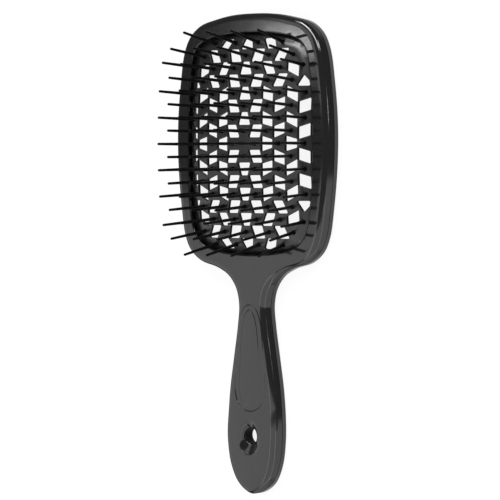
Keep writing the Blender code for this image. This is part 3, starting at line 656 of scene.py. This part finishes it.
class Surface:
    """Faces gathered for one mesh, each corner with its own normal."""

    def __init__(self):
        self.places = []
        self.faces = []
        self.normals = []
        self.slots = []

    def add_points(self, points, levels):
        """Adds points in plan at their levels. Returns the first one's number."""
        start = len(self.places)
        self.places.extend((x, y, z) for (x, y), z in zip(points, levels))
        return start

    def add_face(self, corners, normals, slot=0):
        """Adds a face with a normal at each corner."""
        self.faces.append([int(i) for i in corners])
        self.normals.extend(tuple(n) for n in normals)
        self.slots.append(slot)

    def add_sheet(self, edges, sheet, upwards):
        """Triangles between the edges. Returns each edge's point numbers.

        sheet holds further loops to follow, loose points, and the surface's height and normals.
        """
        relief, loose, surface = sheet
        points, faces, numbers = triangulated(edges + relief, loose)
        faces = faces[between(edges, points[faces].mean(axis=1))]
        levels, normals = surface(points)
        used = np.unique(faces)
        new = np.full(len(points), -1)
        new[used] = np.arange(len(used)) + self.add_points(points[used], levels[used])
        for corners in faces:
            turned = corners if upwards else corners[::-1]
            self.add_face(new[turned], normals[turned])
        return [new[run] for run in numbers[:len(edges)]]

    def add_wall(self, loop, side, top_ring, profile, foot_ring, tilt):
        """Strips from the top sheet's edge down a profile of (inset, level) to the foot's edge."""
        ways = ways_in(loop, side)
        rings = [list(top_ring)]
        shifts = [0.0] + [shift for shift, _ in profile]
        for shift, level in profile[:-1]:
            start = self.add_points(loop + ways * shift, np.full(len(loop), level))
            rings.append(list(range(start, start + len(loop))))
        rings.append(list(foot_ring))
        outward = np.hstack([-ways, np.zeros((len(loop), 1))])
        heights = [np.array([self.places[i][2] for i in ring]) for ring in rings]
        strips = []
        for i in range(len(rings) - 1):
            fall = heights[i] - heights[i + 1]
            normal = outward * fall[:, None]
            normal[:, 2] -= shifts[i + 1] - shifts[i]
            strips.append(normal / np.linalg.norm(normal, axis=1)[:, None])
        strips[0] = outward * math.sin(tilt) + (0.0, 0.0, math.cos(tilt))
        forward = (turn_of(loop) > 0) == (side > 0)
        # Walls that face into an opening take the second material, the darker one with painted shade.
        slot = 0 if side > 0 else 1
        count = len(loop)
        for high, low, normal in zip(rings[:-1], rings[1:], strips):
            for i in range(count):
                j = (i + 1) % count
                corners = (low[i], low[j], high[j], high[i])
                sides = (normal[i], normal[j], normal[j], normal[i])
                if not forward:
                    corners = corners[::-1]
                    sides = sides[::-1]
                self.add_face(corners, sides, slot)

    def finish(self, name):
        """The finished mesh, under the given name."""
        data = bpy.data.meshes.new(name)
        data.from_pydata(self.places, [], self.faces)
        data.shade_smooth()
        data.normals_split_custom_set(self.normals)
        data.polygons.foreach_set("material_index", self.slots)
        return data


def rounded_slab(name, boundary, top, foot, wall_tilt=math.pi / 2):
    """A closed solid between two surfaces, joined by walls.

    boundary holds (loop, side, profile) with the outer loop first. A profile steps down from the
    top sheet's edge, and its last inset is where the foot sheet's edge lies. top and foot hold
    what add_sheet asks for.
    """
    mesh = Surface()
    loops = [loop for loop, _, _ in boundary]
    foot_loops = [loop + ways_in(loop, side) * profile[-1][0] for loop, side, profile in boundary]
    high = mesh.add_sheet(loops, top, True)
    low = mesh.add_sheet(foot_loops, foot, False)
    for (loop, side, profile), high_ring, low_ring in zip(boundary, high, low):
        tilt = wall_tilt if side > 0 else math.pi / 2
        mesh.add_wall(loop, side, high_ring, profile, low_ring, tilt)
    return mesh.finish(name)


def show(data, materials, slot, *nodes):
    """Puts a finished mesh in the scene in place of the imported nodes."""
    for material in materials:
        data.materials.append(material)
    piece = bpy.data.objects.new(data.name, data)
    piece.location = (0.0, PAD_CENTRE_ALONG, 0.0)
    bpy.context.scene.collection.objects.link(piece)
    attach(piece, "root")
    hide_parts(*nodes)


def far_from(loops, room, points):
    """Which of the points lie further than room from all the loops."""
    good = np.ones(len(points), dtype=bool)
    for loop in loops:
        low = loop.min(axis=0) - room
        high = loop.max(axis=0) + room
        near = ((points > low) & (points < high)).all(axis=1)
        good[near] &= nearest([loop], 1, points[near])[0] > room
    return good


def front_face(points):
    """Height of the front shell's face, with its plaque and dish, before its edges are rounded."""
    along = points[:, 1]
    face = np.full(len(points), RIM_FACE)
    stretches = (
        (HEAD_REACH * SHOULDER_SHARE, NECK_REACH, RIM_FACE, NECK_FACE),
        (NECK_REACH, PLAQUE_FOOT_REACH, NECK_FACE, GRIP_FACE),
        (PLAQUE_FOOT_REACH, HOLE_REACH, GRIP_FACE, HOLE_FACE),
        (HOLE_REACH, HANDLE_REACH, HOLE_FACE, END_FACE),
    )
    for start, end, height_before, height_after in stretches:
        face = face + (height_after - height_before) * blend(start, end, -along)
    width = np.maximum(half_width_at(along), NECK_HALF_WIDTH)
    share = np.clip(np.abs(points[:, 0]) / width, 0.0, 1.0)
    face = face - HANDLE_CROWN * blend(HEAD_REACH, NECK_REACH, -along) * share ** 2
    gap = nearest([PLAQUE], 1, points)[0]
    signed = np.where(inside(PLAQUE, points), -gap, gap)
    return face + plaque_rise(signed, along) - dish_drop(points)


def front_surface(points):
    """The front shell's face with its edges rounded."""
    surface = sloped(front_face, points)
    radius = edge_radius(points[:, 1])
    surface = rounded_off(surface, *nearest([OUTLINE], 1, points), radius, FLANK_TILT)
    surface = rounded_off(surface, *nearest([WINDOW], -1, points), WINDOW_EDGE_RADIUS)
    return rounded_off(surface, *nearest([HOLE], -1, points), HOLE_EDGE_RADIUS)


def front_piece():
    """The front moulding: the head's rim, the neck and the front of the handle."""
    radius = edge_radius(OUTLINE[:, 1])[:, None]
    relief = [inset(OUTLINE, radius * share) for share in EDGE_SHARES]
    relief += [inset(WINDOW, -WINDOW_EDGE_RADIUS * share) for share in SMALL_EDGE_SHARES]
    relief += [inset(HOLE, -HOLE_EDGE_RADIUS * share) for share in SMALL_EDGE_SHARES]
    relief += dish_loops()
    for step in (0.0, PLAQUE_BORDER):
        relief += [inset(PLAQUE, PLAQUE_SLOPE * share - step) for share in SLOPE_SHARES]
    pocket = PAD_TUCK + FIT_GAP
    pockets = [inset(WINDOW, -pocket), inset(WINDOW, -pocket - MOULD_DRAFT)]

    def foot_surface(points):
        gap = nearest([WINDOW], 1, points)[0]
        lip = (gap < pocket + MOULD_DRAFT / 2) & (points[:, 1] > -HEAD_END)
        levels = np.where(lip, RIM_LIP_FOOT, COVER_TOP + SEAM_CLEARANCE)
        return levels, np.tile((0.0, 0.0, -1.0), (len(points), 1))

    low = (-HEAD_HALF_WIDTH, -HANDLE_REACH)
    high = (HEAD_HALF_WIDTH, HEAD_REACH)
    grid = staggered_grid(low, high, FACE_GRID)
    grid = grid[between([inset(OUTLINE, radius), WINDOW], grid)]
    grid = grid[far_from([WINDOW, HOLE] + relief, FACE_GRID * GRID_ROOM_SHARE, grid)]
    seam = [
        (0.0, SHELL_FOOT + SEAM_CHAMFER),
        (SEAM_CHAMFER, SHELL_FOOT),
        (SEAM_TONGUE, SHELL_FOOT),
        (SEAM_TONGUE, COVER_TOP + SEAM_CLEARANCE),
    ]
    lip_edge = [(0.0, RIM_LIP_FOOT + LIP_CHAMFER), (LIP_CHAMFER, RIM_LIP_FOOT)]
    bore = [(0.0, COVER_TOP + SEAM_CLEARANCE)]
    boundary = [(OUTLINE, 1, seam), (WINDOW, -1, lip_edge), (HOLE, -1, bore)]
    return rounded_slab("brush_front", boundary, (relief, grid, front_surface),
                        (pockets, NO_POINTS, foot_surface), FLANK_TILT)


def cover_foot(points):
    """The cover's back, turned to face up: flat, with a bevelled window and a conical hole."""
    gap = nearest([WINDOW], 1, points)[0]
    share = 1.0 - (gap - COVER_LIP_INSET) / COVER_BEVEL_WIDTH
    bevel = COVER_BEVEL_HEIGHT * np.clip(share, 0.0, 1.0)
    reach = np.hypot(points[:, 0], points[:, 1] + HOLE_REACH)
    cone_share = (CONE_FOOT_RADIUS - reach) / (CONE_FOOT_RADIUS - CONE_TOP_RADIUS)
    cone = CONE_HEIGHT * np.clip(cone_share, 0.0, 1.0)
    return -np.where(points[:, 1] > -HEAD_END, bevel, cone)


def back_piece():
    """The back moulding: a flat cover with a lip that holds the pad's border."""
    top_edge = inset(OUTLINE, SEAM_CHAMFER)
    mouth = inset(WINDOW, -COVER_LIP_INSET)
    cone_top = circle(-HOLE_REACH, CONE_TOP_RADIUS, HOLE_POINTS)
    lips = [inset(WINDOW, -PAD_TUCK), inset(WINDOW, -PAD_TUCK - MOULD_DRAFT)]

    def top_surface(points):
        gap = nearest([WINDOW], 1, points)[0]
        lip = (gap < PAD_TUCK + MOULD_DRAFT / 2) & (points[:, 1] > -HEAD_END)
        levels = np.where(lip, COVER_LIP_TOP, COVER_TOP)
        return levels, np.tile((0.0, 0.0, 1.0), (len(points), 1))

    def foot_surface(points):
        surface = sloped(cover_foot, points)
        surface = rounded_off(surface, *nearest([OUTLINE], 1, points), COVER_EDGE_RADIUS)
        return upside_down(surface)

    relief = [inset(OUTLINE, COVER_EDGE_RADIUS * share) for share in EDGE_SHARES]
    # Loops close to both sides of a crease keep its two slopes apart.
    crease = 2 * SLOPE_STEP
    bevel_reach = COVER_LIP_INSET + COVER_BEVEL_WIDTH
    relief += [inset(WINDOW, -reach) for reach in (bevel_reach - crease, bevel_reach + crease)]
    for reach in (CONE_FOOT_RADIUS - crease, CONE_FOOT_RADIUS + crease):
        relief.append(circle(-HOLE_REACH, reach, HOLE_POINTS))
    seam = [(-SEAM_CHAMFER, COVER_TOP - SEAM_CHAMFER), (-SEAM_CHAMFER, COVER_EDGE_RADIUS)]
    boundary = [
        (top_edge, 1, seam),
        (mouth, -1, [(0.0, COVER_BEVEL_HEIGHT)]),
        (cone_top, -1, [(0.0, CONE_HEIGHT)]),
    ]
    return rounded_slab("brush_back", boundary, (lips, NO_POINTS, top_surface),
                        (relief, NO_POINTS, foot_surface))


def pad_height(points):
    """Height of the pad's face: a dome that turns down to its border under the rim."""
    dome = PAD_CENTRE_FACE - points[:, 0] ** 2 / (2 * PAD_RADIUS_ACROSS)
    dome = dome - points[:, 1] ** 2 / (2 * PAD_RADIUS_ALONG)
    gap = np.where(inside(WINDOW, points), nearest([WINDOW], 1, points)[0], 0.0)
    pull = np.clip(1.0 - (gap - PAD_EDGE_ROOM) / PAD_EDGE_BAND, 0.0, 1.0) ** 2
    return dome * (1.0 - pull) + PAD_BORDER_TOP * pull


def pad_piece():
    """The domed lattice, with every vent's edges rounded."""
    vents = vent_loops()
    border = inset(WINDOW, -PAD_TUCK)

    def top_surface(points):
        surface = sloped(pad_height, points)
        return rounded_off(surface, *nearest(vents, -1, points), VENT_EDGE_RADIUS)

    def foot_surface(points):
        surface = sloped(lambda p: PAD_THICKNESS - pad_height(p), points)
        return upside_down(rounded_off(surface, *nearest(vents, -1, points), VENT_FOOT_RADIUS))

    rings = [inset(v, -VENT_EDGE_RADIUS * share) for share in SMALL_EDGE_SHARES for v in vents]
    foot_rings = [inset(v, -VENT_FOOT_RADIUS * share) for share in VENT_FOOT_SHARES for v in vents]
    bend = inset(WINDOW, PAD_EDGE_ROOM)
    low = (-WINDOW_HALF_WIDTH, -WINDOW_HALF_LENGTH)
    high = (WINDOW_HALF_WIDTH, WINDOW_HALF_LENGTH)
    grid = staggered_grid(low, high, PAD_GRID)
    grid = grid[between([inset(WINDOW, PAD_GRID)] + vents, grid)]
    grid = grid[far_from(vents, VENT_EDGE_RADIUS * VENT_ROOM_SHARE, grid)]
    fall = [(0.0, 0.0)]
    boundary = [(border, 1, fall)] + [(vent, -1, fall) for vent in vents]
    return rounded_slab("brush_pad", boundary, ([bend] + rings, grid, top_surface),
                        ([bend] + foot_rings, grid, foot_surface))


def pin_profile():
    """Reach along the pin and radius there, from a foot sunk in the pad to a round tip."""
    flare = PIN_FOOT_RADIUS - PIN_SHAFT_RADIUS
    taper_end = PIN_LENGTH - PIN_TIP_RADIUS
    profile = [(-PIN_SINK, PIN_FOOT_RADIUS)]
    for share in PIN_FLARE_SHARES:
        radius = PIN_SHAFT_RADIUS + flare * (1.0 - share) ** PIN_FLARE_POWER
        profile.append((PIN_FOOT_HEIGHT * share, radius))
    for share in PIN_TAPER_SHARES:
        reach = PIN_FOOT_HEIGHT + (taper_end - PIN_FOOT_HEIGHT) * share
        profile.append((reach, PIN_SHAFT_RADIUS + (PIN_TIP_RADIUS - PIN_SHAFT_RADIUS) * share))
    for turn in PIN_TIP_TURNS:
        angle = math.radians(turn)
        reach = taper_end + PIN_TIP_RADIUS * math.sin(angle)
        profile.append((reach, PIN_TIP_RADIUS * math.cos(angle)))
    return profile


def pins_piece(first, last):
    """The pins of a band of rows, each turned round its own leaning axis."""
    places = []
    faces = []
    profile = pin_profile()
    for row in range(first, last + 1):
        for foot, direction in pins_of(row):
            seat = Vector((foot[0], foot[1], float(pad_height(np.array([foot]))[0])))
            side = (Vector((1.0, 0.0, 0.0)) - direction * direction.x).normalized()
            other = direction.cross(side)
            start = len(places)
            for reach, radius in profile:
                for k in range(PIN_SIDES):
                    turn = 2 * math.pi * k / PIN_SIDES
                    offset = side * (radius * math.cos(turn)) + other * (radius * math.sin(turn))
                    places.append(seat + direction * reach + offset)
            places.append(seat + direction * PIN_LENGTH)
            faces.append([start + k for k in reversed(range(PIN_SIDES))])
            for ring in range(len(profile) - 1):
                low = start + ring * PIN_SIDES
                for k in range(PIN_SIDES):
                    j = (k + 1) % PIN_SIDES
                    faces.append((low + k, low + j, low + PIN_SIDES + j, low + PIN_SIDES + k))
            top = start + (len(profile) - 1) * PIN_SIDES
            tip = len(places) - 1
            faces += [(top + k, top + (k + 1) % PIN_SIDES, tip) for k in range(PIN_SIDES)]
    data = bpy.data.meshes.new(f"pins_{first:02d}_{last:02d}")
    data.from_pydata([tuple(p) for p in places], [], faces)
    data.shade_smooth()
    data.set_sharp_from_angle(angle=math.radians(PIN_CREASE_ANGLE))
    return data


def noise(nodes, scale, detail):
    """A noise texture of a scale and a detail."""
    texture = nodes.new("ShaderNodeTexNoise")
    texture.inputs["Scale"].default_value = scale
    texture.inputs["Detail"].default_value = detail
    return texture


def plastic(name, colours, roughness, grain, ior=PLASTIC_IOR):
    """Moulded plastic: faint tone variation, fine grain in the bump, patchy polish."""
    material = bpy.data.materials.new(name)
    material.use_nodes = True
    nodes = material.node_tree.nodes
    links = material.node_tree.links
    shader = nodes["Principled BSDF"]
    shader.inputs["IOR"].default_value = ior
    where = nodes.new("ShaderNodeTexCoord")
    tone = noise(nodes, TONE_SCALE, TONE_DETAIL)
    tones = nodes.new("ShaderNodeValToRGB")
    tones.color_ramp.elements[0].position = NOISE_LOW
    tones.color_ramp.elements[1].position = NOISE_HIGH
    for element, colour in zip(tones.color_ramp.elements, colours):
        element.color = (*colour, 1.0)
    polish = noise(nodes, POLISH_SCALE, POLISH_DETAIL)
    spread = nodes.new("ShaderNodeMapRange")
    spread.inputs["From Min"].default_value = NOISE_LOW
    spread.inputs["From Max"].default_value = NOISE_HIGH
    spread.inputs["To Min"].default_value = roughness[0]
    spread.inputs["To Max"].default_value = roughness[1]
    fine = noise(nodes, grain[0], GRAIN_DETAIL)
    bump = nodes.new("ShaderNodeBump")
    bump.inputs["Strength"].default_value = grain[1]
    bump.inputs["Distance"].default_value = GRAIN_DEPTH
    for texture in (tone, polish, fine):
        links.new(where.outputs["Object"], texture.inputs["Vector"])
    links.new(tone.outputs["Fac"], tones.inputs["Fac"])
    links.new(tones.outputs["Color"], shader.inputs["Base Color"])
    links.new(polish.outputs["Fac"], spread.inputs["Value"])
    links.new(spread.outputs["Result"], shader.inputs["Roughness"])
    links.new(fine.outputs["Fac"], bump.inputs["Height"])
    links.new(bump.outputs["Normal"], shader.inputs["Normal"])
    return material


def floor_material():
    """Pale floor that the camera and reflections see as near white, with the shadow kept."""
    material = bpy.data.materials.new("floor")
    material.use_nodes = True
    nodes = material.node_tree.nodes
    links = material.node_tree.links
    shader = nodes["Principled BSDF"]
    shader.inputs["Base Color"].default_value = (*FLOOR_COLOUR, 1.0)
    shader.inputs["Roughness"].default_value = FLOOR_ROUGHNESS
    rays = nodes.new("ShaderNodeLightPath")
    glow = nodes.new("ShaderNodeEmission")
    glow.inputs["Strength"].default_value = 1.0
    seen = rays.outputs["Is Camera Ray"]
    for ray in ("Is Glossy Ray", "Is Transmission Ray"):
        either = nodes.new("ShaderNodeMath")
        either.operation = "MAXIMUM"
        links.new(seen, either.inputs[0])
        links.new(rays.outputs[ray], either.inputs[1])
        seen = either.outputs[0]
    share = nodes.new("ShaderNodeMath")
    share.operation = "MULTIPLY"
    share.inputs[1].default_value = FLOOR_GLOW
    links.new(seen, share.inputs[0])
    mix = nodes.new("ShaderNodeMixShader")
    links.new(share.outputs[0], mix.inputs["Fac"])
    links.new(shader.outputs["BSDF"], mix.inputs[1])
    links.new(glow.outputs["Emission"], mix.inputs[2])
    links.new(mix.outputs["Shader"], nodes["Material Output"].inputs["Surface"])
    return material


def lay_floor():
    """The floor, a hair below the brush's flat back."""
    data = bpy.data.meshes.new("floor")
    half = FLOOR_HALF_SIZE
    corners = [(-half, -half, 0.0), (half, -half, 0.0), (half, half, 0.0), (-half, half, 0.0)]
    data.from_pydata(corners, [], [(0, 1, 2, 3)])
    data.materials.append(floor_material())
    floor = bpy.data.objects.new("floor", data)
    floor.location.z = -FLOOR_DROP
    bpy.context.scene.collection.objects.link(floor)


def put(thing, out, turn, distance, aim, shift):
    """Puts a camera or a lamp in the scene, so that it looks back along out.

    It stands at a distance from aim, rolled by turn, and shifted along its own sides.
    """
    across = Vector((0.0, 1.0, 0.0)).cross(out).normalized()
    along = out.cross(across)
    across = across * math.cos(turn) + along * math.sin(turn)
    along = out.cross(across)
    place = Vector(aim) + out * distance + across * shift[0] + along * shift[1]
    axes = Matrix((across, along, out)).transposed().to_4x4()
    item = bpy.data.objects.new(thing.name, thing)
    item.matrix_world = Matrix.Translation(place) @ axes
    bpy.context.scene.collection.objects.link(item)
    return item


def hang_card(name, towards, distance, shift, size, brightness, turn=0.0):
    """A soft box that faces the brush. size and shift go across the brush, then along it."""
    lamp = bpy.data.lights.new(name, "AREA")
    lamp.shape = "RECTANGLE"
    lamp.size = size[0]
    lamp.size_y = size[1]
    lamp.energy = brightness * math.pi * size[0] * size[1]
    put(lamp, Vector(towards).normalized(), turn, distance, (0.0, 0.0, 0.0), shift)


def aim_camera():
    """The camera at the photograph's angle."""
    turn = math.radians(VIEW_AZIMUTH)
    lift = math.radians(VIEW_ELEVATION)
    out = Vector((math.sin(turn) * math.cos(lift), math.sin(lift), math.cos(turn) * math.cos(lift)))
    data = bpy.data.cameras.new("camera")
    data.lens = VIEW_LENS
    data.sensor_width = VIEW_SENSOR_WIDTH
    camera = put(data, out, math.radians(VIEW_ROLL), VIEW_DISTANCE, VIEW_AIM, (0.0, 0.0))
    bpy.context.scene.camera = camera


def light_the_room():
    """A grey room and the soft boxes."""
    world = bpy.data.worlds.new("room")
    bpy.context.scene.world = world
    world.use_nodes = True
    sky = world.node_tree.nodes["Background"]
    sky.inputs["Color"].default_value = (*ROOM_GREY, 1.0)
    sky.inputs["Strength"].default_value = 1.0
    for card in CARDS:
        hang_card(*card)


bpy.context.scene.view_settings.view_transform = "Standard"
gloss = plastic("gloss_plastic", GLOSS_TONES, GLOSS_ROUGHNESS, GLOSS_GRAIN)
satin = plastic("satin_plastic", SATIN_TONES, SATIN_ROUGHNESS, SATIN_GRAIN)
# Plastic for the walls inside the openings, darkened and dulled as painted shade.
inner = plastic("shaded_wall_plastic", SHADED_WALL_TONES, SHADED_WALL_ROUGHNESS, SATIN_GRAIN, DULL_IOR)
slim = plastic("pin_plastic", PIN_TONES, SATIN_ROUGHNESS, SATIN_GRAIN, DULL_IOR)
show(front_piece(), (gloss, inner), "shell", "front_shell")
show(back_piece(), (gloss, inner), "shell", "back_cover")
show(pad_piece(), (satin, inner), "pad", "lattice_pad")
for first_row, last_row in BANDS:
    data = pins_piece(first_row, last_row)
    show(data, (slim,), "pins", f"pin_rows_{first_row:02d}_{last_row:02d}")
lay_floor()
light_the_room()
aim_camera()
